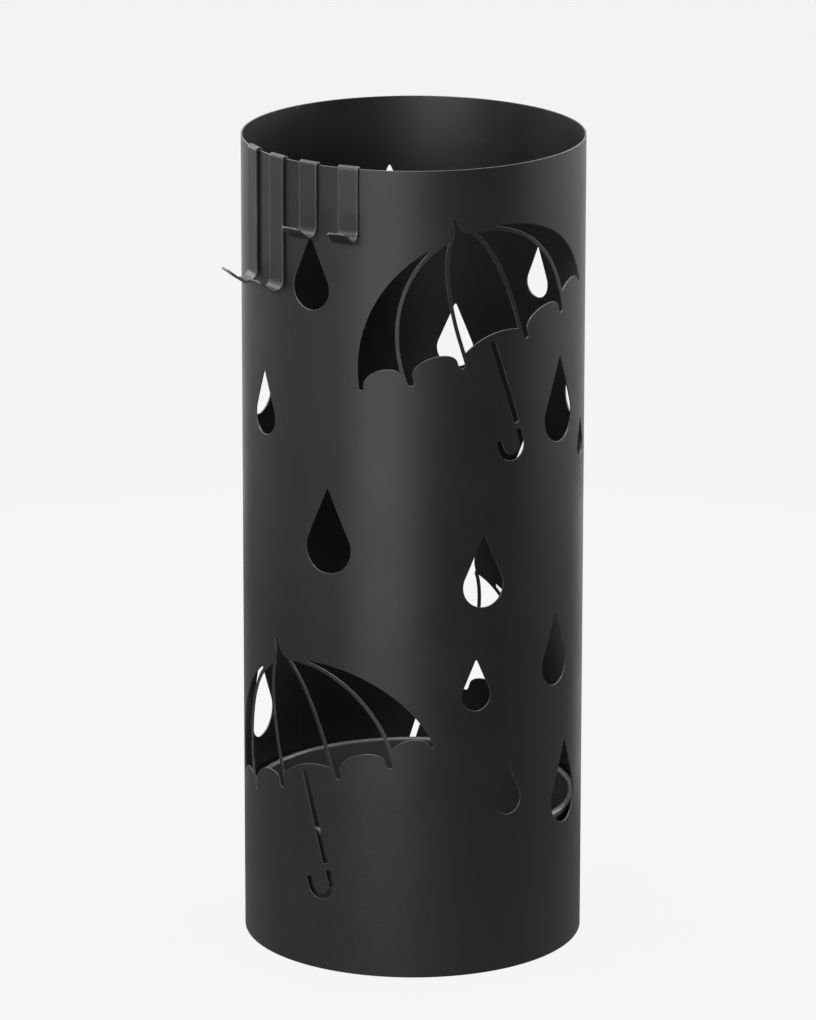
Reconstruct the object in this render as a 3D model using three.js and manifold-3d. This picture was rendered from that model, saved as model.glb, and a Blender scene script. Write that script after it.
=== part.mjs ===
import * as THREE from 'three';
import { mergeVertices } from 'three/addons/utils/BufferGeometryUtils.js';
import Module from 'manifold-3d';

const wasm = await Module();
wasm.setup();

// Umbrella stand: a rolled sheet-steel tube with umbrellas and raindrops cut through its wall,
// a floor disc, a lift-out drip tray and four strip hooks hung over the rim.
// Millimetres, +Z up. The tube's axis is Z, its front line faces -Y, and the floor is z = 0.

// Tube
const TUBE_RADIUS = 85;
const TUBE_HEIGHT = 410;
const SHEET = 0.8;
const TUBE_SEGMENTS = 60;
const INNER_RADIUS = TUBE_RADIUS - SHEET;
const FIT_GAP = 0.3;

// Weld bead on the inside of the tube, along its rolled seam
const SEAM_ARC = 331.8;
const SEAM_WIDTH = 1.6;
const SEAM_PROUD = 0.3;
const SEAM_SUNK = 0.2;
const SEAM_START = 1.5;
const SEAM_END = 0.5;

// Floor disc, welded into the foot of the tube
const PLATE_THICKNESS = 1;

// Drip tray
const TRAY_TOP = 71.9;
const TRAY_RIM_RADIUS = 82;
const TRAY_RIM_HEIGHT = 3;
const TRAY_WALL = 1.8;
const TRAY_BASE_RADIUS = 78.5;
const TRAY_NECK_RADIUS = 80.3;
const TRAY_FILLET = 5;
const TRAY_STEP = 1.5;
const TRAY_CHAMFER = 0.6;
const TRAY_SEGMENTS = 48;

// Hooks: steel strip, bent over the rim, down the wall and out into a rising arm
const HOOK_WIDTH = 10.5;
const HOOK_THICKNESS = 1;
const HOOK_LIP = 9;
const HOOK_STANDOFF = 0.55;
const HOOK_ARM_RISE = THREE.MathUtils.degToRad(38);
const HOOK_CORNER = 1.2;
const HOOK_BEND = 5;
const HOOK_REACH = 16;
const HOOKS = [
  { name: 'long_hook_1', arc: -97.3, bottom: 344.2 },
  { name: 'long_hook_2', arc: -74.8, bottom: 344.2 },
  { name: 'short_hook_1', arc: -53.7, bottom: 374.3 },
  { name: 'short_hook_2', arc: -31.9, bottom: 374.3 },
];

// Umbrella cut-out, drawn flat. y runs up the shaft to zero at the tip of a plain finial, x is
// measured from the middle of the canopy. The canopy's edge and its ribs are quarter ellipses about
// that middle; the outer rib on the left sits a little closer in than the one on the right.
const CANOPY_SHIFT = 0.8;
const CANOPY_TILT = THREE.MathUtils.degToRad(17.1);
const CANOPY_EDGE = { centre: -78, half: 71.3, rise: 68.2 };
const LEFT_RIB = { centre: -68, half: 47.6, rise: 58.1 };
const RIGHT_RIB = { centre: -66, half: 49, rise: 56.4 };
const INNER_RIB = { centre: -60.5, half: 16.15, rise: 53.1 };
const RIB_HALF = 0.95;

// How far from the middle each panel's crown corner lies
const OUTER_CROWN = 18;
const SIDE_CROWN = 7.2;
const MIDDLE_CROWN = 6;

// Hem: scallops between spikes
const SPIKE_WIDTH = 3.2;
const SPIKE_FOOT = -72;
const TIP_SPIKE = { inside: 68.3, foot: -68.3 };
const OUTER_SCALLOP = { x: 58, y: -68.4, half: 10.3, rise: 6.4 };
const SIDE_SCALLOP = { y: -69.2, rise: 6 };
const MIDDLE_SCALLOP = { top: -62.9, radius: 33.1 };

// Finial, shaft and J-shaped handle, drawn just beside the canopy's middle
const SHAFT_X = -0.5;
const SHAFT_HALF = 1.5;
const SHAFT_TOP = -66.3;
const SHAFT_BOTTOM = -114.2;
const FINIAL = {
  x: -1.2,
  tip: 0.85,
  neck: 1.1,
  neckY: -3.2,
  bend: 1.4,
  bendY: -8.6,
  foot: 5.1,
  footY: -10.9,
};
const HANDLE = { radius: 6.15, centreY: -124.1, top: -117.7, end: -119.2 };

// Arc and height place the drawing's zero point. Each umbrella differs a little: the foot of its
// shaft stands `lean` to the right of the top and `shorter` above the full length, and its finial is
// `taller` by so much.
const UMBRELLAS = [
  { arc: 19.9, height: 386.9, shorter: 3, lean: 1.3, taller: -1 },
  { arc: -77.8, height: 165.1, shorter: 0, lean: -1.2, taller: 1.8 },
  { arc: 235.2, height: 173.4, shorter: 0, lean: 0, taller: 2.5 },
];

// Raindrop cut-outs: one shape in several lengths. Arc and height are those of the pointed tip.
const DROP_SLENDER = 0.588;
const DROP_TIP = 0.6;
const LARGE = 43;
const MEDIUM = 36.6;
const SMALL = 26;
const TINY = 19.6;
const DROPS = [
  { arc: -53.3, height: 374.1, length: MEDIUM },
  { arc: -87.7, height: 300.8, length: 32.5 },
  { arc: -43.8, height: 248.8, length: LARGE },
  { arc: 85.5, height: 308.5, length: LARGE },
  { arc: 113, height: 270.8, length: TINY },
  { arc: 35.7, height: 226.3, length: MEDIUM },
  { arc: 83, height: 177.5, length: MEDIUM },
  { arc: 31.9, height: 163, length: SMALL },
  { arc: 50, height: 106.8, length: SMALL },
  { arc: 93, height: 109.8, length: LARGE },
  { arc: 279.3, height: 374.5, length: MEDIUM },
  { arc: 196, height: 338.4, length: SMALL },
  { arc: 245.2, height: 302.7, length: 32.8 },
  { arc: 365.6, height: 130.5, length: LARGE },
  { arc: 365, height: 300.6, length: LARGE },
  { arc: 160.5, height: 295.4, length: MEDIUM },
  { arc: 202, height: 243, length: MEDIUM },
];
const CUT_INSIDE = 6;
const CUT_OUTSIDE = 9;

const POWDER_COAT = { color: 0x1b1b1d, roughness: 0.55, metalness: 0.25 };
const HOOK_COAT = { color: 0x202022, roughness: 0.5, metalness: 0.3 };
const TRAY_PLASTIC = { color: 0x0c0c0d, roughness: 0.25, metalness: 0 };

function toManifold(geometry) {
  const bare = geometry.index ? geometry.toNonIndexed() : geometry.clone();
  bare.deleteAttribute('normal');
  bare.deleteAttribute('uv');
  const welded = mergeVertices(bare, 1e-4);
  return new wasm.Manifold(new wasm.Mesh({
    numProp: 3,
    vertProperties: new Float32Array(welded.attributes.position.array),
    triVerts: new Uint32Array(welded.index.array),
  }));
}

function fromManifold(solid) {
  const mesh = solid.getMesh();
  const geometry = new THREE.BufferGeometry();
  geometry.setAttribute('position', new THREE.BufferAttribute(mesh.vertProperties, 3));
  geometry.setIndex(new THREE.BufferAttribute(mesh.triVerts, 1));
  const flat = geometry.toNonIndexed();
  flat.computeVertexNormals();
  return flat;
}

function namedMesh(name, geometry, look) {
  const mesh = new THREE.Mesh(geometry, new THREE.MeshStandardMaterial(look));
  mesh.name = name;
  return mesh;
}

// A closed ring about Z, from (radius, height) pairs
function ring(profile, segments) {
  const points = profile.map(([radius, height]) => new THREE.Vector2(radius, height));
  return new THREE.LatheGeometry(points, segments).rotateX(Math.PI / 2);
}

// A point on a rib or on the canopy's edge: an ellipse, moved sideways by offset
function ribPoint(rib, turn, offset) {
  const across = Math.cos(turn) / rib.half;
  const up = Math.sin(turn) / rib.rise;
  const size = Math.hypot(across, up);
  return [
    rib.half * Math.cos(turn) + (offset * across) / size,
    rib.centre + rib.rise * Math.sin(turn) + (offset * up) / size,
  ];
}

function ribRun(rib, fromTurn, toTurn, offset, steps) {
  const points = [];
  for (let i = 0; i <= steps; i += 1) {
    points.push(ribPoint(rib, THREE.MathUtils.lerp(fromTurn, toTurn, i / steps), offset));
  }
  return points;
}

function arcRun(centreX, centreY, radiusX, radiusY, from, to, steps) {
  const curve = new THREE.EllipseCurve(centreX, centreY, radiusX, radiusY, from, to, to < from);
  return curve.getPoints(steps).map((p) => [p.x, p.y]);
}

const turnAtX = (rib, x) => Math.acos(x / rib.half);
const turnAtHeight = (rib, height) => Math.asin((height - rib.centre) / rib.rise);

// A round-ended spike, from its left side to its right one
function spike(left, right, foot) {
  const half = (right - left) / 2;
  return arcRun(left + half, foot, half, half, Math.PI, 2 * Math.PI, 4);
}

// Outermost panel: canopy's edge, a thin spike, a scallop, and back up the outer rib
function outerPanel(rib) {
  const { inside, foot } = TIP_SPIKE;
  const { x, y, half, rise } = OUTER_SCALLOP;
  const edgeEnd = turnAtHeight(CANOPY_EDGE, foot);
  const outside = ribPoint(CANOPY_EDGE, edgeEnd, 0)[0];
  const hemEnd = Math.acos((rib.half + RIB_HALF - x) / half);
  const hemY = y + rise * Math.sin(hemEnd);
  return [
    ...ribRun(CANOPY_EDGE, turnAtX(CANOPY_EDGE, OUTER_CROWN), edgeEnd, 0, 9),
    ...spike(inside, outside, foot).reverse().slice(1),
    ...arcRun(x, y, half, rise, 0, hemEnd, 7).slice(1),
    ...ribRun(rib, turnAtHeight(rib, hemY), turnAtX(rib, OUTER_CROWN), RIB_HALF, 8),
  ];
}

// Panel between the two ribs: a spike at each end of its scalloped hem
function sidePanel(rib) {
  const left = INNER_RIB.half + RIB_HALF;
  const right = rib.half - RIB_HALF;
  const scallop = (right - left) / 2 - SPIKE_WIDTH;
  return [
    ...ribRun(INNER_RIB, turnAtX(INNER_RIB, SIDE_CROWN - RIB_HALF / 2), 0, RIB_HALF, 6),
    ...spike(left, left + SPIKE_WIDTH, SPIKE_FOOT),
    ...arcRun((left + right) / 2, SIDE_SCALLOP.y, scallop, SIDE_SCALLOP.rise, Math.PI, 0, 9),
    ...spike(right - SPIKE_WIDTH, right, SPIKE_FOOT),
    ...ribRun(rib, 0, turnAtX(rib, SIDE_CROWN), -RIB_HALF, 9),
  ];
}

// One flank of the finial, opening out from its neck to the crown
function finialFlank(side, taller) {
  return new THREE.QuadraticBezierCurve(
    new THREE.Vector2(FINIAL.x + side * FINIAL.neck, FINIAL.neckY + taller),
    new THREE.Vector2(FINIAL.x + side * FINIAL.bend, FINIAL.bendY + taller),
    new THREE.Vector2(side * FINIAL.foot, FINIAL.footY + taller / 2),
  ).getPoints(4).map((p) => [p.x, p.y]);
}

function mirrored(outline) {
  return outline.map(([x, y]) => [-x, y]);
}

// Middle panel: an inner rib on each side, the finial on top and a shallow scallop below
function middlePanel({ taller }) {
  const { top, radius } = MIDDLE_SCALLOP;
  const rib = ribRun(INNER_RIB, 0, turnAtX(INNER_RIB, MIDDLE_CROWN), -RIB_HALF, 6);
  const sweep = Math.asin((INNER_RIB.half - RIB_HALF) / radius);
  const hem = arcRun(0, top - radius, radius, radius, Math.PI / 2 + sweep, Math.PI / 2 - sweep, 6);
  return [
    ...rib,
    ...finialFlank(1, taller).reverse(),
    ...arcRun(FINIAL.x, taller - FINIAL.tip, FINIAL.tip, FINIAL.tip, 0, Math.PI, 4),
    ...finialFlank(-1, taller),
    ...mirrored(rib).reverse(),
    ...hem,
  ];
}

function shaftSlot({ shorter, lean }) {
  const bottom = SHAFT_BOTTOM + shorter;
  return [
    [SHAFT_X - SHAFT_HALF, SHAFT_TOP],
    [SHAFT_X + lean - SHAFT_HALF, bottom],
    [SHAFT_X + lean + SHAFT_HALF, bottom],
    [SHAFT_X + SHAFT_HALF, SHAFT_TOP],
  ];
}

// Handle: a straight run, a half circle and a short upturned end
function handleSlot({ shorter, lean }) {
  const { radius } = HANDLE;
  const centreY = HANDLE.centreY + shorter;
  const centreX = SHAFT_X + lean - radius;
  const outer = radius + SHAFT_HALF;
  const inner = radius - SHAFT_HALF;
  return [
    [centreX + outer, HANDLE.top + shorter],
    [centreX + inner, HANDLE.top + shorter],
    ...arcRun(centreX, centreY, inner, inner, 0, -Math.PI, 6),
    [centreX - inner, HANDLE.end + shorter],
    [centreX - outer, HANDLE.end + shorter],
    ...arcRun(centreX, centreY, outer, outer, Math.PI, 2 * Math.PI, 8),
  ];
}

// Turns a flat outline to the canopy's tilt and sets it on the tube's unrolled surface
function placed(outline, { arc, height }) {
  const cos = Math.cos(CANOPY_TILT);
  const sin = Math.sin(CANOPY_TILT);
  return outline.map(([x, y]) => [
    arc + (x + CANOPY_SHIFT) * cos - y * sin,
    height + (x + CANOPY_SHIFT) * sin + y * cos,
  ]);
}

function umbrellaOutlines(umbrella) {
  const flat = [
    outerPanel(RIGHT_RIB),
    mirrored(outerPanel(LEFT_RIB)),
    sidePanel(RIGHT_RIB),
    mirrored(sidePanel(LEFT_RIB)),
    middlePanel(umbrella),
    shaftSlot(umbrella),
    handleSlot(umbrella),
  ];
  return flat.map((outline) => placed(outline, umbrella));
}

// Straight flanks from a blunt tip, tangent to the round belly
function dropOutline({ arc, height, length }) {
  const belly = (length * DROP_SLENDER) / 2;
  const centre = height - length + belly;
  const span = length - belly - DROP_TIP;
  const lean = Math.asin((belly - DROP_TIP) / span);
  return [
    ...arcRun(arc, height - DROP_TIP, DROP_TIP, DROP_TIP, lean, Math.PI - lean, 3),
    ...arcRun(arc, centre, belly, belly, Math.PI - lean, 2 * Math.PI + lean, 12),
  ];
}

// A cutter: the outline as a prism through the wall, bent round the tube's axis
function bentCutter(outline) {
  const shape = new THREE.Shape(outline.map(([x, y]) => new THREE.Vector2(x, y)));
  const depth = SHEET + CUT_INSIDE + CUT_OUTSIDE;
  const prism = new THREE.ExtrudeGeometry(shape, { depth, bevelEnabled: false });
  const position = prism.attributes.position;
  for (let i = 0; i < position.count; i += 1) {
    const angle = position.getX(i) / TUBE_RADIUS;
    const radius = INNER_RADIUS - CUT_INSIDE + position.getZ(i);
    position.setXYZ(i, radius * Math.sin(angle), -radius * Math.cos(angle), position.getY(i));
  }
  return toManifold(prism);
}

function seamBead() {
  const length = TUBE_HEIGHT - SEAM_START - SEAM_END;
  const half = SEAM_WIDTH / 2;
  const angle = SEAM_ARC / TUBE_RADIUS;
  const radius = INNER_RADIUS + SEAM_SUNK;
  const bead = new THREE.CylinderGeometry(half, half, length, 10);
  bead.rotateX(Math.PI / 2);
  bead.scale(1, (SEAM_PROUD + SEAM_SUNK) / half, 1);
  bead.rotateZ(angle);
  bead.translate(radius * Math.sin(angle), -radius * Math.cos(angle), SEAM_START + length / 2);
  return toManifold(bead);
}

function shell() {
  const wall = ring([
    [INNER_RADIUS, 0],
    [TUBE_RADIUS, 0],
    [TUBE_RADIUS, TUBE_HEIGHT],
    [INNER_RADIUS, TUBE_HEIGHT],
    [INNER_RADIUS, 0],
  ], TUBE_SEGMENTS);
  let solid = toManifold(wall).add(seamBead());
  const outlines = [...UMBRELLAS.flatMap(umbrellaOutlines), ...DROPS.map(dropOutline)];
  for (const outline of outlines) {
    solid = solid.subtract(bentCutter(outline));
  }
  return namedMesh('shell', fromManifold(solid), POWDER_COAT);
}

function basePlate() {
  const disc = new THREE.CylinderGeometry(
    INNER_RADIUS - FIT_GAP,
    INNER_RADIUS - FIT_GAP,
    PLATE_THICKNESS,
    TUBE_SEGMENTS,
  );
  disc.rotateX(Math.PI / 2);
  disc.translate(0, 0, PLATE_THICKNESS / 2);
  return namedMesh('base_plate', disc, POWDER_COAT);
}

// Deep round cup with a stepped-out rim, standing on the floor disc
function dripTray() {
  const floor = PLATE_THICKNESS + FIT_GAP;
  const shoulder = TRAY_TOP - TRAY_RIM_HEIGHT;
  const filletX = TRAY_BASE_RADIUS - TRAY_FILLET;
  const filletZ = floor + TRAY_FILLET;
  const inside = TRAY_FILLET - TRAY_WALL;
  const profile = [
    [0, floor],
    ...arcRun(filletX, filletZ, TRAY_FILLET, TRAY_FILLET, -Math.PI / 2, 0, 3),
    [TRAY_NECK_RADIUS, shoulder - TRAY_STEP],
    [TRAY_RIM_RADIUS, shoulder],
    [TRAY_RIM_RADIUS, TRAY_TOP - TRAY_CHAMFER],
    [TRAY_RIM_RADIUS - TRAY_CHAMFER, TRAY_TOP],
    [TRAY_NECK_RADIUS - TRAY_WALL + TRAY_CHAMFER, TRAY_TOP],
    [TRAY_NECK_RADIUS - TRAY_WALL, TRAY_TOP - TRAY_CHAMFER],
    ...arcRun(filletX, filletZ, inside, inside, 0, -Math.PI / 2, 2),
    [0, floor + TRAY_WALL],
  ];
  return namedMesh('drip_tray', ring(profile, TRAY_SEGMENTS), TRAY_PLASTIC);
}

// Centre line of a hook in its own upright plane: x is the distance from the tube's axis
function hookLine(bottom) {
  const half = HOOK_THICKNESS / 2;
  const edge = HOOK_WIDTH / 2;
  const lipFace = Math.sqrt((INNER_RADIUS - FIT_GAP) ** 2 - edge ** 2);
  const lipX = lipFace - half;
  const legX = TUBE_RADIUS + HOOK_STANDOFF + half;
  const bridgeZ = TUBE_HEIGHT + FIT_GAP + half;
  const cornerZ = bridgeZ - HOOK_CORNER;
  const bendX = legX + HOOK_BEND;
  const bendZ = bottom + half + HOOK_BEND;
  const armStart = -Math.PI / 2 + HOOK_ARM_RISE;
  const armX = bendX + HOOK_BEND * Math.cos(armStart);
  const armZ = bendZ + HOOK_BEND * Math.sin(armStart);
  const armLength = (TUBE_RADIUS + HOOK_REACH - armX) / Math.cos(HOOK_ARM_RISE);
  return [
    [lipX, TUBE_HEIGHT - HOOK_LIP],
    ...arcRun(lipX + HOOK_CORNER, cornerZ, HOOK_CORNER, HOOK_CORNER, Math.PI, Math.PI / 2, 5),
    ...arcRun(legX - HOOK_CORNER, cornerZ, HOOK_CORNER, HOOK_CORNER, Math.PI / 2, 0, 5),
    ...arcRun(bendX, bendZ, HOOK_BEND, HOOK_BEND, Math.PI, 2 * Math.PI + armStart, 9),
    [armX + armLength * Math.cos(HOOK_ARM_RISE), armZ + armLength * Math.sin(HOOK_ARM_RISE)],
  ];
}

// Both faces of a strip, half a thickness either side of its centre line
function stripOutline(line, thickness) {
  const faces = [1, -1].map((side) => line.map(([x, y], i) => {
    const before = line[Math.max(i - 1, 0)];
    const after = line[Math.min(i + 1, line.length - 1)];
    const size = Math.hypot(after[0] - before[0], after[1] - before[1]);
    const shift = (side * thickness) / 2 / size;
    return new THREE.Vector2(
      x - (after[1] - before[1]) * shift,
      y + (after[0] - before[0]) * shift,
    );
  }));
  return [...faces[0], ...faces[1].reverse()];
}

function hook({ name, arc, bottom }) {
  const side = new THREE.Shape(stripOutline(hookLine(bottom), HOOK_THICKNESS));
  const strip = new THREE.ExtrudeGeometry(side, { depth: HOOK_WIDTH, bevelEnabled: false });
  strip.translate(0, 0, -HOOK_WIDTH / 2);
  strip.rotateX(Math.PI / 2);
  strip.rotateZ(arc / TUBE_RADIUS - Math.PI / 2);
  return namedMesh(name, fromManifold(toManifold(strip)), HOOK_COAT);
}

const umbrellaStand = new THREE.Group();
umbrellaStand.name = 'umbrella_stand';
umbrellaStand.add(shell(), basePlate(), dripTray(), ...HOOKS.map(hook));

export default umbrellaStand;
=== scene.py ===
import math

import bpy
import numpy as np
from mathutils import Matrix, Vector
from mathutils.geometry import delaunay_2d_cdt


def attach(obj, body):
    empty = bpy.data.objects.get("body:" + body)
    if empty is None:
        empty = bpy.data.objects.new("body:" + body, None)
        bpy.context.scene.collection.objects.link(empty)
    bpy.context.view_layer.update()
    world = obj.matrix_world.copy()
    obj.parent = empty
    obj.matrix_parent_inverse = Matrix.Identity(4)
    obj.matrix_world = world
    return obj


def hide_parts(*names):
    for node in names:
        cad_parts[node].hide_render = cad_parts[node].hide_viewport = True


# Umbrella stand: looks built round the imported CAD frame. Lengths are millimetres in the
# drawing code below and become metres when a mesh is made; the camera and the lights are placed
# in metres. +Z is up and the front faces -Y. An arc is a distance round the tube's outer face,
# from its front line towards +X.
MM = 0.001

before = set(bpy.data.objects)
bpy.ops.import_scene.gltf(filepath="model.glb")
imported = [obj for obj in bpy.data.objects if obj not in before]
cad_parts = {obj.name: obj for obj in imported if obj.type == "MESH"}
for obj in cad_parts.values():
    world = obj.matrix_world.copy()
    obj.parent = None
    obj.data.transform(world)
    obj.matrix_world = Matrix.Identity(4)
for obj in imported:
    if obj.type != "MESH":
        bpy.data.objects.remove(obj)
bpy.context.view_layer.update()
scene = bpy.context.scene


# ---------------------------------------------------------------- camera
CAMERA_SENSOR = 36
CAMERA_LENS = 229.9
CAMERA_PLACE = (0, -3.128, 1.1123)
CAMERA_TURN = (90 - 15.972, -0.0633, 0.0649)


def add_camera():
    """Long lens, looking down at the tube from well above its rim."""
    data = bpy.data.cameras.new("camera")
    data.sensor_width = CAMERA_SENSOR
    data.lens = CAMERA_LENS
    camera = bpy.data.objects.new("camera", data)
    camera.location = CAMERA_PLACE
    camera.rotation_euler = [math.radians(angle) for angle in CAMERA_TURN]
    scene.collection.objects.link(camera)
    scene.camera = camera


add_camera()

# ---------------------------------------------------------------- sizes, as in the CAD part
TUBE_RADIUS = 85.0
TUBE_HEIGHT = 410.0
SHEET = 0.8
INNER_RADIUS = TUBE_RADIUS - SHEET
CIRCUMFERENCE = 2 * math.pi * TUBE_RADIUS
SEAM_ARC = 331.8
SHEET_START = SEAM_ARC - CIRCUMFERENCE
FLOOR_DISC = 1.0
FIT_GAP = 0.3

TRAY_TOP = 71.9
TRAY_RIM_RADIUS = 82.0
TRAY_RIM_HEIGHT = 3.0
TRAY_WALL = 1.8
TRAY_BASE_RADIUS = 78.5
TRAY_NECK_RADIUS = 80.3
TRAY_FILLET = 5.0
TRAY_FLOOR = FLOOR_DISC + FIT_GAP

# Shapes of the tray that only the looks have: underside, foot ring, change of draft, soft rim
TRAY_WAIST = 36.0
TRAY_RECESS = 0.7
TRAY_RING_WIDTH = 4.1
TRAY_RING_SLOPE = 0.9
TRAY_CROWN = 0.5
TRAY_LIP_ROUND = 1.4

HOOK_WIDTH = 10.5
HOOK_THICKNESS = 1.0
HOOK_LIP = 9.0
HOOK_STANDOFF = 0.55
HOOK_ARM_RISE = math.radians(38)
HOOK_CORNER = 1.2
HOOK_BEND = 5.0
HOOK_REACH = 16.0

# Shapes of the hooks that only the looks have: round corners and edges, and the rubbed band
HOOK_END_ROUND = 2.2
HOOK_EDGE_ROUND = 0.22
HOOK_WORN = 0.9
HOOK_ROUNDED = 0.98

# Hooks: CAD node, body, arc of the strip's middle and height of its lowest point
HOOKS = [
    ("long_hook_1", "hook_1", -97.3, 344.2),
    ("long_hook_2", "hook_2", -74.8, 344.2),
    ("short_hook_1", "hook_3", -53.7, 374.3),
    ("short_hook_2", "hook_4", -31.9, 374.3),
]

# Umbrella motif, drawn flat: y runs up the shaft to zero at the tip of a plain finial, and x is
# measured from the canopy's middle. The canopy's edge and its ribs are quarter ellipses.
CANOPY_SHIFT = 0.8
CANOPY_TILT = math.radians(17.1)
CANOPY_EDGE = {"centre": -78, "half": 71.3, "rise": 68.2}
LEFT_RIB = {"centre": -68, "half": 47.6, "rise": 58.1}
RIGHT_RIB = {"centre": -66, "half": 49, "rise": 56.4}
INNER_RIB = {"centre": -60.5, "half": 16.15, "rise": 53.1}
RIB_HALF = 0.95
OUTER_CROWN = 18
SIDE_CROWN = 7.2
MIDDLE_CROWN = 6
SPIKE_WIDTH = 3.2
SPIKE_FOOT = -72
TIP_SPIKE = {"inside": 68.3, "foot": -68.3}
OUTER_SCALLOP = {"x": 58, "y": -68.4, "half": 10.3, "rise": 6.4}
SIDE_SCALLOP = {"y": -69.2, "rise": 6}
MIDDLE_SCALLOP = {"top": -62.9, "radius": 33.1}
SHAFT_X = -0.5
SHAFT_HALF = 1.5
SHAFT_TOP = -66.3
SHAFT_BOTTOM = -114.2
FINIAL = {"x": -1.2, "tip": 0.85, "neck": (1.1, -3.2), "bend": (1.4, -8.6), "foot": (5.1, -10.9)}
HANDLE = {"radius": 6.15, "centre": -124.1, "top": -117.7, "end": -119.2}

# Each umbrella differs a little: the shaft's foot stands `lean` to the right of its top and
# `shorter` above the full length, and the finial is `taller` by so much
UMBRELLAS = [
    {"arc": 19.9, "height": 386.9, "shorter": 3, "lean": 1.3, "taller": -1},
    {"arc": -77.8, "height": 165.1, "shorter": 0, "lean": -1.2, "taller": 1.8},
    {"arc": 235.2, "height": 173.4, "shorter": 0, "lean": 0, "taller": 2.5},
]

# Raindrops: one shape, given by the arc and height of its tip and by its length
DROP_SLENDER = 0.588
DROP_TIP = 0.6
LARGE = 43
MEDIUM = 36.6
SMALL = 26
TINY = 19.6
DROPS = [
    (-53.3, 374.1, MEDIUM), (-87.7, 300.8, 32.5), (-43.8, 248.8, LARGE), (85.5, 308.5, LARGE),
    (113, 270.8, TINY), (35.7, 226.3, MEDIUM), (83, 177.5, MEDIUM), (31.9, 163, SMALL),
    (50, 106.8, SMALL), (93, 109.8, LARGE), (279.3, 374.5, MEDIUM), (196, 338.4, SMALL),
    (245.2, 302.7, 32.8), (365.6, 130.5, LARGE), (365, 300.6, LARGE), (160.5, 295.4, MEDIUM),
    (202, 243, MEDIUM),
]

# Fineness of the drawn curves and of the bent sheet, and the rounding of its edges
CURVE_STEP = 0.9
SHEET_COLUMNS = 180
SHEET_ROWS = 41
SHEET_MARGIN = 0.9
EDGE_ROUND = 0.2


# ---------------------------------------------------------------- flat outlines
def arc_run(cx, cy, rx, ry, start, end):
    """Points along an elliptic arc, close enough together for a smooth edge."""
    length = max(rx, ry) * abs(end - start)
    steps = max(6, round(length / CURVE_STEP))
    turns = np.linspace(start, end, steps + 1)
    return [(cx + rx * math.cos(t), cy + ry * math.sin(t)) for t in turns]


def curve_run(start, pull, end, steps):
    """Points along a curve from start to end that leans towards pull."""
    run = []
    for t in np.linspace(0, 1, steps + 1):
        run.append((1 - t) ** 2 * start + 2 * t * (1 - t) * pull + t ** 2 * end)
    return run


def rib_point(rib, turn, offset):
    """A point of a rib's quarter ellipse, moved outwards by an offset."""
    across = math.cos(turn) / rib["half"]
    up = math.sin(turn) / rib["rise"]
    size = math.hypot(across, up)
    x = rib["half"] * math.cos(turn) + offset * across / size
    y = rib["centre"] + rib["rise"] * math.sin(turn) + offset * up / size
    return x, y


def rib_run(rib, start, end, offset):
    """Points along a rib's quarter ellipse, between two of its turns."""
    steps = max(6, round(rib["rise"] * abs(end - start) / (2 * CURVE_STEP)))
    return [rib_point(rib, t, offset) for t in np.linspace(start, end, steps + 1)]


def turn_at_x(rib, x):
    """The turn of a rib's ellipse from its centre's level to where it passes x."""
    return math.acos(x / rib["half"])


def turn_at_height(rib, height):
    """The turn of a rib's ellipse from its centre's level to a height; below it is negative."""
    return math.asin((height - rib["centre"]) / rib["rise"])


def mirrored(outline):
    return [(-x, y) for x, y in outline]


def spike(left, right, foot):
    """A round-ended spike, from its left side to its right one."""
    half = (right - left) / 2
    return arc_run(left + half, foot, half, half, math.pi, 2 * math.pi)


def outer_panel(rib):
    """Canopy's edge, a thin spike, a scallop, and back up the outer rib."""
    inside, foot = TIP_SPIKE["inside"], TIP_SPIKE["foot"]
    x, y, half, rise = (OUTER_SCALLOP[key] for key in ("x", "y", "half", "rise"))
    edge_end = turn_at_height(CANOPY_EDGE, foot)
    outside = rib_point(CANOPY_EDGE, edge_end, 0)[0]
    hem_end = math.acos((rib["half"] + RIB_HALF - x) / half)
    hem_y = y + rise * math.sin(hem_end)
    return (
        rib_run(CANOPY_EDGE, turn_at_x(CANOPY_EDGE, OUTER_CROWN), edge_end, 0)
        + spike(inside, outside, foot)[::-1][1:]
        + arc_run(x, y, half, rise, 0, hem_end)[1:]
        + rib_run(rib, turn_at_height(rib, hem_y), turn_at_x(rib, OUTER_CROWN), RIB_HALF)
    )


def side_panel(rib):
    """Panel between the two ribs, with a spike at each end of its hem."""
    left = INNER_RIB["half"] + RIB_HALF
    right = rib["half"] - RIB_HALF
    scallop = (right - left) / 2 - SPIKE_WIDTH
    return (
        rib_run(INNER_RIB, turn_at_x(INNER_RIB, SIDE_CROWN - RIB_HALF / 2), 0, RIB_HALF)
        + spike(left, left + SPIKE_WIDTH, SPIKE_FOOT)
        + arc_run((left + right) / 2, SIDE_SCALLOP["y"], scallop, SIDE_SCALLOP["rise"], math.pi, 0)
        + spike(right - SPIKE_WIDTH, right, SPIKE_FOOT)
        + rib_run(rib, 0, turn_at_x(rib, SIDE_CROWN), -RIB_HALF)
    )


def finial_flank(side, taller):
    """One flank of the finial, opening out from its neck to the crown."""
    neck = np.array((FINIAL["x"] + side * FINIAL["neck"][0], FINIAL["neck"][1] + taller))
    bend = np.array((FINIAL["x"] + side * FINIAL["bend"][0], FINIAL["bend"][1] + taller))
    foot = np.array((side * FINIAL["foot"][0], FINIAL["foot"][1] + taller / 2))
    return curve_run(neck, bend, foot, 10)


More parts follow.
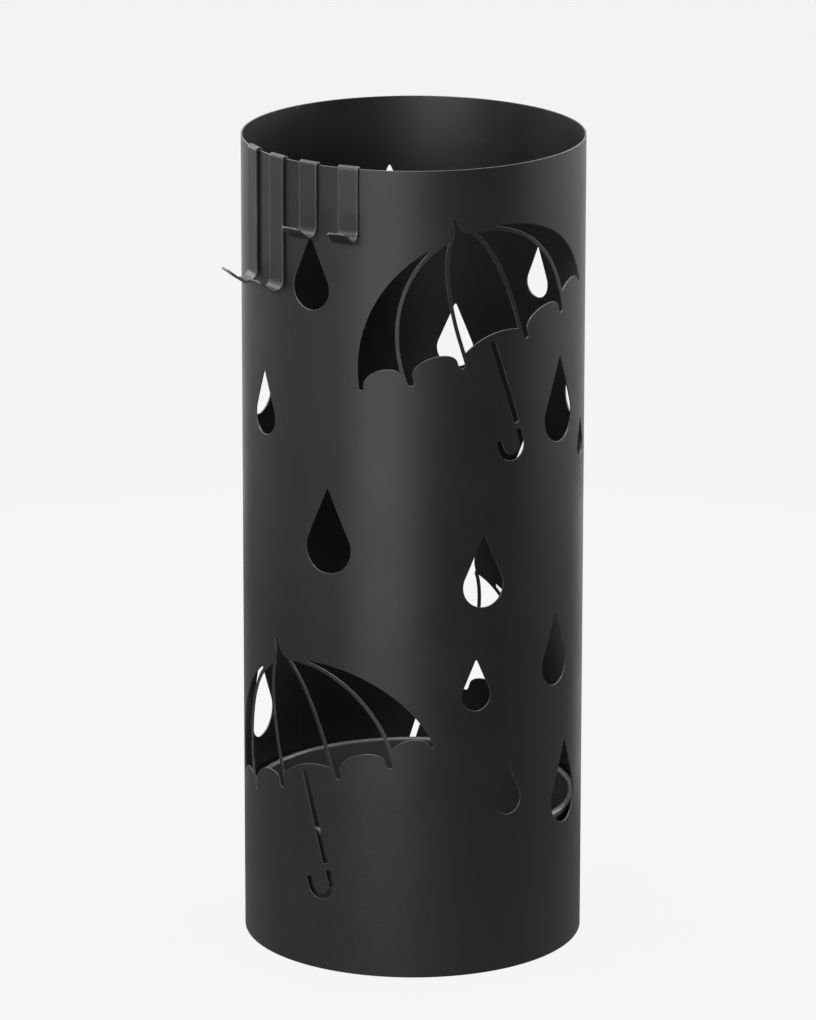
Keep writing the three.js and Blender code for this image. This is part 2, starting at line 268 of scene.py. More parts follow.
def middle_panel(taller):
    """An inner rib on each side, the finial on top and a shallow scallop below."""
    top, radius = MIDDLE_SCALLOP["top"], MIDDLE_SCALLOP["radius"]
    rib = rib_run(INNER_RIB, 0, turn_at_x(INNER_RIB, MIDDLE_CROWN), -RIB_HALF)
    sweep = math.asin((INNER_RIB["half"] - RIB_HALF) / radius)
    tip = FINIAL["tip"]
    return (
        rib
        + finial_flank(1, taller)[::-1]
        + arc_run(FINIAL["x"], taller - tip, tip, tip, 0, math.pi)
        + finial_flank(-1, taller)
        + mirrored(rib)[::-1]
        + arc_run(0, top - radius, radius, radius, math.pi / 2 + sweep, math.pi / 2 - sweep)
    )


def shaft_slot(shorter, lean):
    """Straight slot of the shaft, its foot moved sideways by the lean."""
    left, right = SHAFT_X - SHAFT_HALF, SHAFT_X + SHAFT_HALF
    bottom = SHAFT_BOTTOM + shorter
    return [(left, SHAFT_TOP), (left + lean, bottom), (right + lean, bottom), (right, SHAFT_TOP)]


def handle_slot(shorter, lean):
    """J-shaped handle: a straight run, a half circle and a short upturned end."""
    x = SHAFT_X + lean - HANDLE["radius"]
    centre, top, end = (HANDLE[key] + shorter for key in ("centre", "top", "end"))
    outer = HANDLE["radius"] + SHAFT_HALF
    inner = HANDLE["radius"] - SHAFT_HALF
    return (
        [(x + outer, top), (x + inner, top)]
        + arc_run(x, centre, inner, inner, 0, -math.pi)
        + [(x - inner, end), (x - outer, end)]
        + arc_run(x, centre, outer, outer, math.pi, 2 * math.pi)
    )


def placed(outline, arc, height):
    """The motif's outline, tilted and put on the sheet with its finial at an arc and a height."""
    cos, sin = math.cos(CANOPY_TILT), math.sin(CANOPY_TILT)
    run = []
    for x, y in outline:
        x += CANOPY_SHIFT
        run.append((arc + x * cos - y * sin, height + x * sin + y * cos))
    return run


def umbrella_outlines(arc, height, shorter, lean, taller):
    """The seven openings of one umbrella: five canopy panels, the shaft and the handle."""
    flat = [
        outer_panel(RIGHT_RIB),
        mirrored(outer_panel(LEFT_RIB)),
        side_panel(RIGHT_RIB),
        mirrored(side_panel(LEFT_RIB)),
        middle_panel(taller),
        shaft_slot(shorter, lean),
        handle_slot(shorter, lean),
    ]
    return [placed(outline, arc, height) for outline in flat]


def drop_outline(arc, height, length):
    """Straight flanks from a blunt tip, tangent to the round belly."""
    belly = length * DROP_SLENDER / 2
    centre = height - length + belly
    lean = math.asin((belly - DROP_TIP) / (length - belly - DROP_TIP))
    return (
        arc_run(arc, height - DROP_TIP, DROP_TIP, DROP_TIP, lean, math.pi - lean)
        + arc_run(arc, centre, belly, belly, math.pi - lean, 2 * math.pi + lean)
    )


def cut_outlines():
    """Outlines of all the openings, on the unrolled sheet."""
    outlines = []
    for umbrella in UMBRELLAS:
        outlines += umbrella_outlines(**umbrella)
    for drop in DROPS:
        outlines.append(drop_outline(*drop))
    return outlines


# ---------------------------------------------------------------- outline clean-up
CORNER_TURN = math.radians(25)
CORNER_CUT = 0.45
CORNER_SHARE = 0.45
SAME_POINT = 0.02
SAME_ARC = 1e-3
HEIGHT_DIGITS = 4
LONGEST_EDGE = 1.5
MITRE_LIMIT = 0.35


def rounded_corners(points):
    """Swaps each sharp corner for a small curve, which takes only a share of short sides."""
    run = []
    count = len(points)
    for i in range(count):
        before, here, after = points[i - 1], points[i], points[(i + 1) % count]
        back, ahead = before - here, after - here
        back_size, ahead_size = np.hypot(*back), np.hypot(*ahead)
        cos = np.dot(-back, ahead) / (back_size * ahead_size)
        if math.acos(max(-1, min(1, cos))) < CORNER_TURN:
            run.append(here)
            continue
        cut = min(CORNER_CUT, CORNER_SHARE * back_size, CORNER_SHARE * ahead_size)
        start = here + back * cut / back_size
        end = here + ahead * cut / ahead_size
        run += curve_run(start, here, end, 4)
    return np.array(run)


def without_repeats(points):
    """Drops each point that lies on the one before it."""
    keep = np.hypot(*(points - np.roll(points, 1, axis=0)).T) > SAME_POINT
    return points[keep]


def densified(points):
    """Splits long straight edges, so that they follow the tube once bent."""
    run = []
    for start, end in zip(points, np.roll(points, -1, axis=0)):
        steps = max(1, math.ceil(np.hypot(*(end - start)) / LONGEST_EDGE))
        for i in range(steps):
            run.append(start + (end - start) * i / steps)
    return np.array(run)


def mitres(points, gaps=None):
    """Outward vectors of a closed anticlockwise loop, long enough to move every edge by one."""
    ahead = np.roll(points, -1, axis=0) - points if gaps is None else gaps
    normal = np.stack([ahead[:, 1], -ahead[:, 0]], 1)
    normal /= np.hypot(*normal.T)[:, None]
    before = np.roll(normal, 1, axis=0)
    return (normal + before) / np.maximum(1 + np.sum(normal * before, 1), MITRE_LIMIT)[:, None]


def hole_loop(outline):
    """Clean anticlockwise loop of one cut-out, opened out by the edge's rounding."""
    points = np.array(outline, float)
    x, y = points.T
    if np.sum(x * np.roll(y, -1) - y * np.roll(x, -1)) < 0:
        points = points[::-1]
    points = densified(rounded_corners(without_repeats(points)))
    return points + EDGE_ROUND * mitres(points)


def inside_loop(loop, points):
    """Even-odd test of many points against one loop."""
    x, y = points[:, 0:1], points[:, 1:2]
    x1, y1 = loop[:, 0], loop[:, 1]
    x2, y2 = np.roll(x1, -1), np.roll(y1, -1)
    spans = (y1 > y) != (y2 > y)
    rise = np.where(y2 == y1, 1, y2 - y1)
    crossing = x1 + (y - y1) * (x2 - x1) / rise
    return np.count_nonzero(spans & (x < crossing), axis=1) % 2 == 1


def clear_of(loops, points):
    """True for each point that lies outside every loop."""
    clear = np.ones(len(points), bool)
    for loop in loops:
        near = np.all((points > loop.min(0)) & (points < loop.max(0)), axis=1)
        clear[near] &= ~inside_loop(loop, points[near])
    return clear


# ---------------------------------------------------------------- meshes
def new_mesh(name, vertices, faces, normals=None):
    """A smooth mesh object from points in millimetres, with exact vertex normals if given."""
    mesh = bpy.data.meshes.new(name)
    mesh.from_pydata((np.asarray(vertices, float) * MM).tolist(), [], faces)
    mesh.update()
    for polygon in mesh.polygons:
        polygon.use_smooth = True
    if normals is not None:
        size = np.linalg.norm(normals, axis=1)[:, None]
        mesh.normals_split_custom_set_from_vertices((np.asarray(normals) / size).tolist())
    piece = bpy.data.objects.new(name, mesh)
    scene.collection.objects.link(piece)
    return piece


def paint_edge(piece, amounts):
    """Stores how near each vertex is to a cut edge, for the wear in the paint; on the tray it
    marks the rim's top, whose paler paint is partly rubbed wear and partly a painted highlight.
    """
    layer = piece.data.attributes.new("edge", "FLOAT", "POINT")
    layer.data.foreach_set("value", np.asarray(amounts, np.float32))


def flat_sheet():
    """The unrolled sheet with its openings: points (arc, height), and triangles between them."""
    loops = [hole_loop(outline) for outline in cut_outlines()]
    for loop in loops:
        loop[:, 0] -= CIRCUMFERENCE * math.floor((loop[:, 0].mean() - SHEET_START) / CIRCUMFERENCE)
    arcs = np.linspace(SHEET_START, SHEET_START + CIRCUMFERENCE, SHEET_COLUMNS + 1)
    heights = np.linspace(EDGE_ROUND, TUBE_HEIGHT - EDGE_ROUND, SHEET_ROWS + 1)
    grid = np.stack(np.meshgrid(arcs, heights), -1).reshape(-1, 2)
    wide_loops = [loop + SHEET_MARGIN * mitres(loop) for loop in loops]
    points = [Vector(p) for p in grid[clear_of(wide_loops, grid)]]
    edges = []
    for loop in loops:
        first = len(points)
        points += [Vector(p) for p in loop]
        edges += [(first + i, first + (i + 1) % len(loop)) for i in range(len(loop))]
    found = delaunay_2d_cdt(points, edges, [], 0, 1e-5)
    flat = np.array([tuple(p) for p in found[0]])
    triangles = np.array(found[2])
    solid = clear_of(loops, flat[triangles].mean(axis=1))
    return joined_at_seam(flat, triangles[solid])


def joined_at_seam(flat, triangles):
    """Gives the sheet's last column the numbers of its first one, and drops unused points."""
    first = {}
    for i, (arc, height) in enumerate(flat):
        if abs(arc - SHEET_START) < SAME_ARC:
            first[round(height, HEIGHT_DIGITS)] = i
    number = np.arange(len(flat))
    for i, (arc, height) in enumerate(flat):
        if abs(arc - SHEET_START - CIRCUMFERENCE) < SAME_ARC:
            number[i] = first[round(height, HEIGHT_DIGITS)]
    triangles = number[triangles]
    used, packed = np.unique(triangles, return_inverse=True)
    return flat[used], packed.reshape(triangles.shape)


def boundary_loops(triangles):
    """Closed runs of free edges, each with the sheet on its left."""
    edges = np.concatenate([triangles[:, [0, 1]], triangles[:, [1, 2]], triangles[:, [2, 0]]])
    known = {tuple(edge) for edge in edges.tolist()}
    after = {a: b for a, b in known if (b, a) not in known}
    loops = []
    while after:
        start = next(iter(after))
        loop = [start]
        here = after.pop(start)
        while here != start:
            loop.append(here)
            here = after.pop(here)
        loops.append(np.array(loop))
    return loops


def edge_profile():
    """Across a sheet's edge, from its outer face to its inner one: (outwards, depth, turn)."""
    quarter = np.linspace(0, math.pi / 2, 4)
    outer = [(EDGE_ROUND * math.sin(t), EDGE_ROUND * (1 - math.cos(t)), t) for t in quarter]
    inner = [(out, SHEET - depth, math.pi - t) for out, depth, t in reversed(outer)]
    return outer + inner


def on_tube(arc, height, radius):
    """Place of an arc and a height of the sheet, at a radius from the tube's axis."""
    angle = arc / TUBE_RADIUS
    return np.stack([radius * np.sin(angle), -radius * np.cos(angle), height], -1)


def edge_directions(points):
    """The mitred way out of the sheet at a cut edge, and the same way in space, one long."""
    gaps = np.roll(points, -1, axis=0) - points
    gaps[:, 0] = (gaps[:, 0] + CIRCUMFERENCE / 2) % CIRCUMFERENCE - CIRCUMFERENCE / 2
    outwards = mitres(points, gaps)
    unit = outwards / np.hypot(*outwards.T)[:, None]
    angle = points[:, 0] / TUBE_RADIUS
    sideways = np.stack([np.cos(angle), np.sin(angle), 0 * angle], -1) * unit[:, :1]
    sideways[:, 2] = unit[:, 1]
    return outwards, sideways


def band(upper, lower):
    """Quads between two closed rings, which are given by their points' numbers."""
    return np.stack([np.roll(upper, -1), upper, lower, np.roll(lower, -1)], 1).tolist()


def swept_faces(rings):
    """Faces of a closed solid swept through rings of point numbers, with flat ends."""
    faces = [rings[0].tolist(), rings[-1][::-1].tolist()]
    for upper, lower in zip(rings, rings[1:]):
        faces += band(upper, lower)
    return faces


def bent_sheet(name):
    """The tube's wall: the flat sheet bent round, outside and inside, with rounded edges."""
    flat, triangles = flat_sheet()
    count = len(flat)
    arc, height = flat.T
    radial = on_tube(arc, np.zeros(count), np.ones(count))
    vertices = [on_tube(arc, height, TUBE_RADIUS), on_tube(arc, height, INNER_RADIUS)]
    normals = [radial, -radial]
    wear = [np.zeros(2 * count)]
    faces = triangles.tolist() + (triangles[:, ::-1] + count).tolist()
    total = 2 * count
    for loop in boundary_loops(triangles):
        points = flat[loop]
        outwards, sideways = edge_directions(points)
        rings = [loop]
        for out, depth, turn in edge_profile()[1:-1]:
            moved = points + out * outwards
            vertices.append(on_tube(moved[:, 0], moved[:, 1], TUBE_RADIUS - depth))
            normals.append(radial[loop] * math.cos(turn) + sideways * math.sin(turn))
            wear.append(np.ones(len(loop)))
            rings.append(total + np.arange(len(loop)))
            total += len(loop)
        rings.append(loop + count)
        for upper, lower in zip(rings, rings[1:]):
            faces += band(upper, lower)
    piece = new_mesh(name, np.concatenate(vertices), faces, np.concatenate(normals))
    paint_edge(piece, np.concatenate(wear))
    return piece


def lathe(name, profile, segments):
    """A closed solid turned about Z, from its (radius, height) profile; ends on the axis."""
    turns = np.linspace(0, 2 * math.pi, segments, endpoint=False)
    vertices = [(0, 0, profile[0][1])]
    for radius, height in profile[1:-1]:
        vertices += [(radius * math.sin(t), -radius * math.cos(t), height) for t in turns]
    vertices.append((0, 0, profile[-1][1]))
    last = len(vertices) - 1
    rings = np.arange(1, last).reshape(-1, segments)
    faces = []
    for low, high in zip(rings, rings[1:]):
        faces += band(high, low)
    bottom, top = rings[0].tolist(), rings[-1].tolist()
    for i in range(segments):
        j = (i + 1) % segments
        faces += [(0, bottom[j], bottom[i]), (top[i], top[j], last)]
    return new_mesh(name, vertices, faces)


def fillet(cx, cy, radius, start, end, steps=6):
    """Points along a quarter circle or part of one; its ends are given in degrees."""
    turns = np.linspace(math.radians(start), math.radians(end), steps + 1)
    return [(cx + radius * math.cos(t), cy + radius * math.sin(t)) for t in turns]


def floor_disc():
    """Flat disc at the foot of the tube, with a fillet weld running up the wall."""
    edge = INNER_RADIUS - 0.05
    soft = 0.3
    weld = 1.6
    profile = (
        [(0, 0), (edge - soft, 0)]
        + fillet(edge - soft, soft, soft, -90, 0, 3)[1:]
        + fillet(edge - weld, FLOOR_DISC + weld, weld, 0, -90)
        + [(0, FLOOR_DISC)]
    )
    return lathe("floor_disc", profile, 180)


def tray_profile():
    """Outline of the moulded cup, from the middle of its underside to the middle of its floor.

    A foot ring runs round the recessed underside, the draft changes at the waist, and the floor
    rises a little towards its middle, so that water stays near the wall.
    """
    corner = TRAY_BASE_RADIUS - TRAY_FILLET
    corner_height = TRAY_FLOOR + TRAY_FILLET
    ring_inside = corner - TRAY_RING_WIDTH
    recess = TRAY_FLOOR + TRAY_RECESS
    floor = TRAY_FLOOR + TRAY_WALL
    shoulder = TRAY_TOP - TRAY_RIM_HEIGHT
    inner_neck = TRAY_NECK_RADIUS - TRAY_WALL
    draft = (TRAY_NECK_RADIUS - TRAY_BASE_RADIUS) / 2
    lip, step, under = TRAY_LIP_ROUND, 0.6, 0.7
    foot_ring = [
        (0, recess),
        (ring_inside - TRAY_RING_SLOPE, recess),
        (ring_inside - 0.3, TRAY_FLOOR + 0.1),
        (ring_inside, TRAY_FLOOR),
    ]
    outer_wall = (
        fillet(corner, corner_height, TRAY_FILLET, -90, 0, 10)
        + [(TRAY_BASE_RADIUS + draft, TRAY_WAIST), (TRAY_NECK_RADIUS - 0.02, shoulder - 2.2)]
        + fillet(TRAY_NECK_RADIUS + step, shoulder - lip, step, 180, 110, 4)
    )
    rim = (
        fillet(TRAY_RIM_RADIUS - under, shoulder, under, -50, 0, 4)
        + fillet(TRAY_RIM_RADIUS - lip, TRAY_TOP - lip, lip, 0, 90, 8)
        + fillet(inner_neck + lip, TRAY_TOP - lip, lip, 90, 180, 8)
    )
    inner_wall = (
        [(inner_neck - draft, TRAY_WAIST)]
        + fillet(corner, corner_height, TRAY_FILLET - TRAY_WALL, 0, -90, 8)
        + [(corner - 12, floor + 0.1 * TRAY_CROWN), (0, floor + TRAY_CROWN)]
    )
    return foot_ring + outer_wall + rim + inner_wall


def tray():
    """The loose cup inside the tube's foot; its rim is paler along the top, partly rubbed wear and
    partly a painted highlight.
    """
    piece = lathe("tray", tray_profile(), 240)
    heights = np.array([vertex.co.z for vertex in piece.data.vertices]) / MM
    # The top of the rim is marked for paler paint: partly rubbed wear, partly a painted highlight
    clean, pale_edge = TRAY_TOP - 1.6, TRAY_TOP - 0.4
    paint_edge(piece, np.clip((heights - clean) / (pale_edge - clean), 0, 1))
    return piece


def weld_seam():
    """Bead down the inside of the rolled seam, with the small ripples of the weld."""
    half, proud, pitch, ripple_depth = 0.8, 0.3, 1.4, 0.18
    foot, head = 1.8, TUBE_HEIGHT - 0.6
    front = INNER_RADIUS + 0.02
    back = INNER_RADIUS + 0.1
    across = np.linspace(-1, 1, 7)
    vertices = []
    for height in np.linspace(foot, head, 481):
        ripple = 1 + ripple_depth * math.cos(2 * math.pi * height / pitch)
        for t in across:
            rise = proud * ripple * math.sqrt(max(0, 1 - t * t))
            vertices.append(on_tube(SEAM_ARC + half * ripple * t, height, front - rise))
        vertices.append(on_tube(SEAM_ARC, height, back))
    rings = np.arange(len(vertices)).reshape(-1, len(across) + 1)
    return new_mesh("weld_seam", vertices, swept_faces(rings))


def straight(start, end, steps):
    """Evenly spaced points from start to end."""
    return [tuple(p) for p in np.linspace(start, end, steps + 1)]


def hook_line(bottom):
    """Middle of the strip in the hook's upright plane: (distance from the tube's axis, height)."""
    half = HOOK_THICKNESS / 2
    lip = math.sqrt((INNER_RADIUS - FIT_GAP) ** 2 - (HOOK_WIDTH / 2) ** 2) - half
    leg = TUBE_RADIUS + HOOK_STANDOFF + half
    bridge = TUBE_HEIGHT + FIT_GAP + half
    corner = bridge - HOOK_CORNER
    bend_x, bend_z = leg + HOOK_BEND, bottom + half + HOOK_BEND
    start = HOOK_ARM_RISE - math.pi / 2
    arm_x = bend_x + HOOK_BEND * math.cos(start)
    arm_z = bend_z + HOOK_BEND * math.sin(start)
    end_x = TUBE_RADIUS + HOOK_REACH
    end_z = arm_z + (end_x - arm_x) * math.tan(HOOK_ARM_RISE)
    runs = [
        straight((lip, TUBE_HEIGHT - HOOK_LIP), (lip, corner), 8),
        fillet(lip + HOOK_CORNER, corner, HOOK_CORNER, 180, 90, 8)[1:],
        fillet(leg - HOOK_CORNER, corner, HOOK_CORNER, 90, 0, 8),
        straight((leg, corner), (leg, bend_z), 12)[1:],
        fillet(bend_x, bend_z, HOOK_BEND, 180, 360 + math.degrees(start), 20)[1:],
        straight((arm_x, arm_z), (end_x, end_z), 10)[1:],
    ]
    return np.array([point for run in runs for point in run])


def with_round_ends(line):
    """Adds close points at both ends of a line, where the strip's corners are rounded."""
    extra = HOOK_END_ROUND * (1 - np.cos(np.linspace(0, math.pi / 2, 8)))
    lengths = np.concatenate([[0], np.cumsum(np.hypot(*np.diff(line, axis=0).T))])
    total, clear = lengths[-1], HOOK_END_ROUND * 1.1
    inner = lengths[(lengths > clear) & (lengths < total - clear)]
    wanted = np.concatenate([extra, inner, total - extra[::-1]])
    x = np.interp(wanted, lengths, line[:, 0])
    z = np.interp(wanted, lengths, line[:, 1])
    return np.stack([x, z], 1), wanted


def strip_section():
    """Round corners and inset flat points of the strip's section: (side, face, turn, inset)."""
    section = []
    for side, face, start in ((1, 1, 0), (-1, 1, 90), (-1, -1, 180), (1, -1, 270)):
        corner = [(side, face, math.radians(start + turn), 0) for turn in (0, 30, 60, 90)]
        flat = [(side, face, face * math.pi / 2, HOOK_WORN)]
        section += corner + flat if side == face else flat + corner
    return section


def drawn_in(radius, end):
    """How far a side is drawn in by a round corner, at a distance from the strip's end."""
    return radius - math.sqrt(max(0, radius ** 2 - max(0, radius - end) ** 2))


def strip_ring(section, end):
    """The section at a distance from the strip's end: (across, lift, wear) of each point.

    Its roundings stop just short of full, so that no two points meet.
    """
    wide = HOOK_WIDTH / 2 - drawn_in(HOOK_END_ROUND, end) - HOOK_EDGE_ROUND
    thick = HOOK_THICKNESS / 2 - drawn_in(HOOK_EDGE_ROUND, end) * HOOK_ROUNDED
    soft = min(HOOK_EDGE_ROUND, thick * HOOK_ROUNDED)
    ring = []
    for side, face, turn, inset in section:
        across = side * (wide - inset) + HOOK_EDGE_ROUND * math.cos(turn)
        lift = face * (thick - soft) + soft * math.sin(turn)
        wear = max(0, 1 - max(inset, end) / HOOK_WORN) if inset else 1
        ring.append((across, lift, wear))
    return ring


def strip_hook(name, arc, bottom):
    """A bent steel strip with rounded long edges and rounded corners at both ends."""
    line, along = with_round_ends(hook_line(bottom))
    tangent = np.gradient(line, axis=0)
    tangent /= np.hypot(*tangent.T)[:, None]
    normal = np.stack([-tangent[:, 1], tangent[:, 0]], 1)
    section = strip_section()
    angle = arc / TUBE_RADIUS
    outward = np.array((math.sin(angle), -math.cos(angle), 0))
    sideways = np.array((math.cos(angle), math.sin(angle), 0))
    vertices, wear = [], []
    for (x, z), (nx, nz), s in zip(line, normal, along):
        for across, lift, worn in strip_ring(section, min(s, along[-1] - s)):
            upright = np.array((0, 0, z + nz * lift))
            vertices.append(outward * (x + nx * lift) + sideways * across + upright)
            wear.append(worn)
    rings = np.arange(len(vertices)).reshape(-1, len(section))
    piece = new_mesh(name, vertices, swept_faces(rings[::-1]))
    paint_edge(piece, wear)
    return piece


# ---------------------------------------------------------------- materials
RUBBED_COAT = 0.11
# Grey of the tray's paler rim: partly rubbed wear, partly a painted highlight along the rim
RIM_WEAR_AND_HIGHLIGHT = 0.2
DUST = (0.2, 0.19, 0.175, 1)
LIME = (0.2, 0.2, 0.19, 1)


def grey(level):
    """A grey that leans a little to blue."""
    return (level, level, level * 1.03, 1)


class Nodes:
    """A short way to write a node material: add nodes, set their sockets, link them."""

    def __init__(self, name):
        self.material = bpy.data.materials.new(name)
        self.material.use_nodes = True
        self.tree = self.material.node_tree
        self.shader = self.tree.nodes["Principled BSDF"]
        self.place = self.add("ShaderNodeTexCoord").outputs["Object"]

    def add(self, kind, **settings):
        node = self.tree.nodes.new(kind)
        for key, value in settings.items():
            setattr(node, key, value)
        return node

    def feed(self, socket, value):
        if isinstance(value, bpy.types.NodeSocket):
            self.tree.links.new(value, socket)
        else:
            socket.default_value = value

    def noise(self, scale, detail=2.0, rough=0.5, stretch=None):
        """Noise fixed to the object; its scale counts patches per metre."""
        node = self.add("ShaderNodeTexNoise")
        place = self.place
        if stretch:
            mapping = self.add("ShaderNodeMapping")
            mapping.inputs["Scale"].default_value = stretch
            self.feed(mapping.inputs["Vector"], place)
            place = mapping.outputs["Vector"]
        self.feed(node.inputs["Vector"], place)
        node.inputs["Scale"].default_value = scale
        node.inputs["Detail"].default_value = detail
        node.inputs["Roughness"].default_value = rough
        return node.outputs["Fac"]

    def spread(self, value, low, high, start=0.3, end=0.7):
        """Maps a value that runs from start to end on to low to high, and stops there."""
        node = self.add("ShaderNodeMapRange")
        self.feed(node.inputs["Value"], value)
        node.inputs["From Min"].default_value = start
        node.inputs["From Max"].default_value = end
        self.feed(node.inputs["To Min"], low)
        self.feed(node.inputs["To Max"], high)
        return node.outputs["Result"]

    def maths(self, kind, a, b):
        node = self.add("ShaderNodeMath", operation=kind)
        self.feed(node.inputs[0], a)
        self.feed(node.inputs[1], b)
        return node.outputs["Value"]

    def blend(self, amount, a, b):
        node = self.add("ShaderNodeMix", data_type="RGBA")
        self.feed(node.inputs["Factor"], amount)
        self.feed(node.inputs["A"], a)
        self.feed(node.inputs["B"], b)
        return node.outputs["Result"]

    def patchy(self, pattern, dark, light):
        """Two greys mixed by a noise pattern."""
        return self.blend(self.spread(pattern, 0, 1), grey(dark), grey(light))

    def bump(self, height, strength, distance, under=None):
        node = self.add("ShaderNodeBump")
        self.feed(node.inputs["Height"], height)
        node.inputs["Strength"].default_value = strength
        node.inputs["Distance"].default_value = distance
        if under is not None:
            self.feed(node.inputs["Normal"], under)
        return node.outputs["Normal"]

    def upward(self):
        """One on a surface that faces up, nought on a wall."""
        split = self.add("ShaderNodeSeparateXYZ")
        self.feed(split.inputs["Vector"], self.add("ShaderNodeNewGeometry").outputs["Normal"])
        return self.spread(split.outputs["Z"], 0, 1, 0.55, 0.95)

    def near_edge(self):
        """The wear that each mesh stores along its edges, from nought to one; on the tray's rim it
        is partly a painted highlight.
        """
        return self.add("ShaderNodeAttribute", attribute_name="edge").outputs["Fac"]


def powder_coat(name, base, rough, wear):
    """Satin black powder coat: fine orange peel, faint mottling, rubbed on the cut edges."""
    nodes = Nodes(name)
    shader = nodes.shader
    mottle = nodes.patchy(nodes.noise(9, 3), base * 0.82, base * 1.2)
    grain = nodes.patchy(nodes.noise(1500, 1), base * 0.8, base * 1.25)
    scratches = nodes.spread(nodes.noise(160, 4, 0.6), 0.25 * wear, wear)
    pale_edge = nodes.maths("MULTIPLY", nodes.near_edge(), scratches)
    dust_cover = nodes.spread(nodes.noise(60, 5, 0.65), 0.02, 0.16)
    dusty = nodes.maths("MULTIPLY", nodes.upward(), dust_cover)
    colour = nodes.blend(pale_edge, nodes.blend(0.4, mottle, grain), grey(RUBBED_COAT))
    nodes.feed(shader.inputs["Base Color"], nodes.blend(dusty, colour, DUST))
    satin = nodes.spread(nodes.noise(26, 4, 0.6), rough - 0.045, rough + 0.05)
    polish = nodes.maths("MULTIPLY", pale_edge, 0.15)
    nodes.feed(shader.inputs["Roughness"], nodes.maths("SUBTRACT", satin, polish))
    shader.inputs["Metallic"].default_value = 0
    shader.inputs["Specular IOR Level"].default_value = 0.5
    peel = nodes.bump(nodes.noise(480, 2, 0.45), 0.22, 0.00022)
    fine = nodes.bump(nodes.noise(2100, 1), 0.16, 0.00007, peel)
    nodes.feed(shader.inputs["Normal"], fine)
    return nodes.material


def moulded_plastic():
    """Black plastic with a soft gloss: flow marks, faint scuffs, a little lime, and a paler rim
    that is partly rubbed wear, partly a painted highlight.
    """
    nodes = Nodes("gloss_plastic")
    shader = nodes.shader
    flow = nodes.patchy(nodes.noise(14, 3, 0.5, (1, 1, 0.3)), 0.034, 0.044)
    lime_cover = nodes.spread(nodes.noise(75, 6, 0.7), 0, 0.08, 0.5, 0.8)
    limy = nodes.maths("MULTIPLY", nodes.upward(), lime_cover)
    # Paler, patchy band on the tray's rim: partly rubbed wear, partly a painted highlight
    scratches = nodes.spread(nodes.noise(120, 4, 0.6), 0.5, 0.9)
    pale_edge = nodes.maths("MULTIPLY", nodes.near_edge(), scratches)
    colour = nodes.blend(limy, flow, LIME)
    nodes.feed(shader.inputs["Base Color"], nodes.blend(pale_edge, colour, grey(RIM_WEAR_AND_HIGHLIGHT)))
    gloss = nodes.spread(nodes.noise(30, 3), 0.22, 0.26)
    scuffs = nodes.spread(nodes.noise(320, 5, 0.7), 0, 0.02, 0.45, 0.75)
    dulled = nodes.maths("ADD", scuffs, nodes.maths("MULTIPLY", limy, 0.8))
    nodes.feed(shader.inputs["Roughness"], nodes.maths("ADD", gloss, dulled))
    shader.inputs["Specular IOR Level"].default_value = 0.5
    wave = nodes.bump(nodes.noise(38, 2), 0.12, 0.0006)
    nodes.feed(shader.inputs["Normal"], nodes.bump(nodes.noise(900, 2), 0.05, 0.00008, wave))
    return nodes.material


# ---------------------------------------------------------------- the object's pieces
def dress(piece, body, node, material):
    """Puts a piece on its body, in its finish, and in place of its CAD node."""
    piece.data.materials.append(material)
    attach(piece, body)
    if node:
        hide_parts(node)


shell_coat = powder_coat("powder_coat", base=0.008, rough=0.42, wear=0.5)
hook_coat = powder_coat("hook_coat", base=0.011, rough=0.42, wear=0.4)
plastic = moulded_plastic()

dress(bent_sheet("tube"), "stand", "shell", shell_coat)
dress(weld_seam(), "stand", None, shell_coat)
dress(floor_disc(), "stand", "base_plate", shell_coat)
dress(tray(), "tray", "drip_tray", plastic)
for node, body, arc, bottom in HOOKS:
    dress(strip_hook(f"{node}_strip", arc, bottom), body, node, hook_coat)


# ---------------------------------------------------------------- floor and light
WHITE = (1, 1, 1, 1)
WORLD_STRENGTH = 0.06
FLOOR_HALF = 9000
FLOOR_HEIGHT = -0.3

# What the floor gives off: to the camera, and on to the object from near by and from far away;
# the light from it falls off between the two distances, in metres
FLOOR_SHOWN = 0.885
FLOOR_NEAR = 0.28
FLOOR_FAR = 0.1
NEAR_DISTANCE = 0.12
FAR_DISTANCE = 0.6

# Upright soft panels: name, azimuth from the front towards the right, distance from the tube's
# axis, height of the lower and the upper edge, width, radiance
PANELS = [
    ("front_left_foot", -19, 0.8, 0.0, 0.1, 0.55, 5.9),
    ("front_left_head", -19, 0.8, 0.5, 0.6, 0.55, 10.6),
    ("front_left_far", -19, 1.6, 0.42, 0.75, 1.1, 6.6),
    ("front_left_high", -28, 1.6, 0.9, 1.4, 0.8, 12),
    ("left_strip", -64, 0.8, 0.0, 0.3, 0.2, 1.1),
    ("left_low", -112, 0.8, 0.0, 0.4, 1.0, 0.46),
    ("right_low", 110, 0.8, 0.0, 0.4, 1.0, 0.6),
    ("left", -80, 0.8, 0.4, 1.3, 0.45, 1.2),
    ("left_high", -95, 0.9, 1.3, 1.8, 0.6, 7),
    ("right", 89, 0.8, 0.4, 0.75, 0.39, 3.0),
    ("left_back", -125, 0.8, 0.4, 1.3, 0.39, 5),
    ("right_back", 125, 0.8, 0.4, 1.3, 0.39, 6.5),
    ("left_rim", -163, 0.8, 0.0, 1.3, 0.42, 1.3),
    ("right_rim", 162, 0.8, 0.0, 1.3, 0.45, 1.0),
    ("left_rim_low", -150, 0.25, 0.0, 0.17, 0.13, 0.32),
    ("right_rim_low", 145, 0.25, 0.0, 0.17, 0.15, 0.75),
]


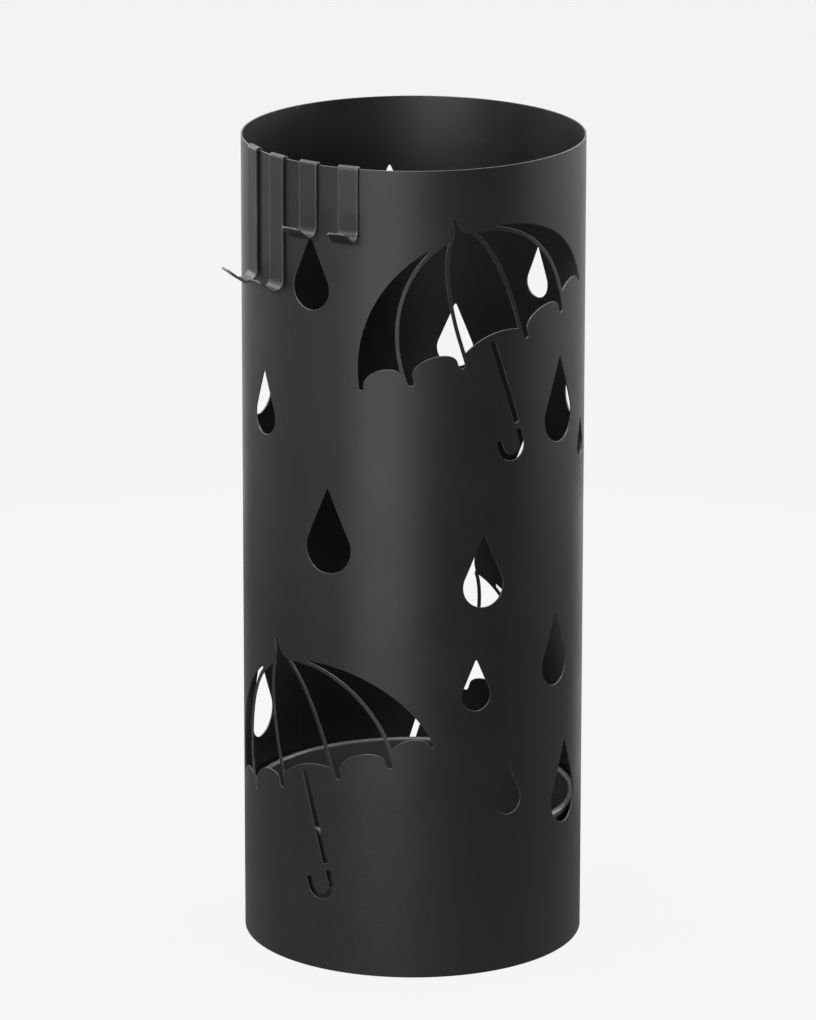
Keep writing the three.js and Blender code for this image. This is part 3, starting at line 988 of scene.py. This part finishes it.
def add_floor():
    """Pale floor, evenly bright to the camera; on to the object it glows less further away."""
    signs = ((-1, -1), (1, -1), (1, 1), (-1, 1))
    corners = [(x * FLOOR_HALF, y * FLOOR_HALF, FLOOR_HEIGHT) for x, y in signs]
    piece = new_mesh("floor", corners, [(0, 1, 2, 3)])
    nodes = Nodes("pale_floor")
    shader = nodes.shader
    nodes.feed(shader.inputs["Base Color"], nodes.patchy(nodes.noise(1.5, 2), 0.016, 0.02))
    shader.inputs["Roughness"].default_value = 0.9
    shader.inputs["Specular IOR Level"].default_value = 0
    shader.inputs["Emission Color"].default_value = WHITE
    seen = nodes.add("ShaderNodeLightPath").outputs["Is Camera Ray"]
    away = nodes.add("ShaderNodeVectorMath", operation="LENGTH")
    nodes.feed(away.inputs["Vector"], nodes.place)
    away = away.outputs["Value"]
    cast = nodes.spread(away, FLOOR_NEAR, FLOOR_FAR, NEAR_DISTANCE, FAR_DISTANCE)
    nodes.feed(shader.inputs["Emission Strength"], nodes.spread(seen, cast, FLOOR_SHOWN, 0, 1))
    piece.data.materials.append(nodes.material)


def add_light(name, width, length, radiance):
    """A soft rectangular light that the camera doesn't see; it shines along its own -Z."""
    data = bpy.data.lights.new(name, "AREA")
    data.shape = "RECTANGLE"
    data.size = width
    data.size_y = length
    data.energy = radiance * math.pi * width * length
    light = bpy.data.objects.new(name, data)
    light.visible_camera = False
    scene.collection.objects.link(light)
    return light


def add_panel(name, azimuth, distance, low, high, width, radiance):
    """An upright panel that faces the tube."""
    light = add_light(name, width, high - low, radiance)
    turn = math.radians(azimuth)
    light.location = (distance * math.sin(turn), -distance * math.cos(turn), (low + high) / 2)
    light.rotation_euler = (math.pi / 2, 0, turn)


def add_world():
    """Faint white light from all round."""
    world = bpy.data.worlds.new("studio")
    world.use_nodes = True
    shade = world.node_tree.nodes["Background"]
    shade.inputs["Color"].default_value = WHITE
    shade.inputs["Strength"].default_value = WORLD_STRENGTH
    scene.world = world


scene.view_settings.view_transform = "Standard"
add_floor()
add_world()
add_light("overhead", 2.0, 2.0, 4.8).location = (0, 0, 2.2)
for panel in PANELS:
    add_panel(*panel)
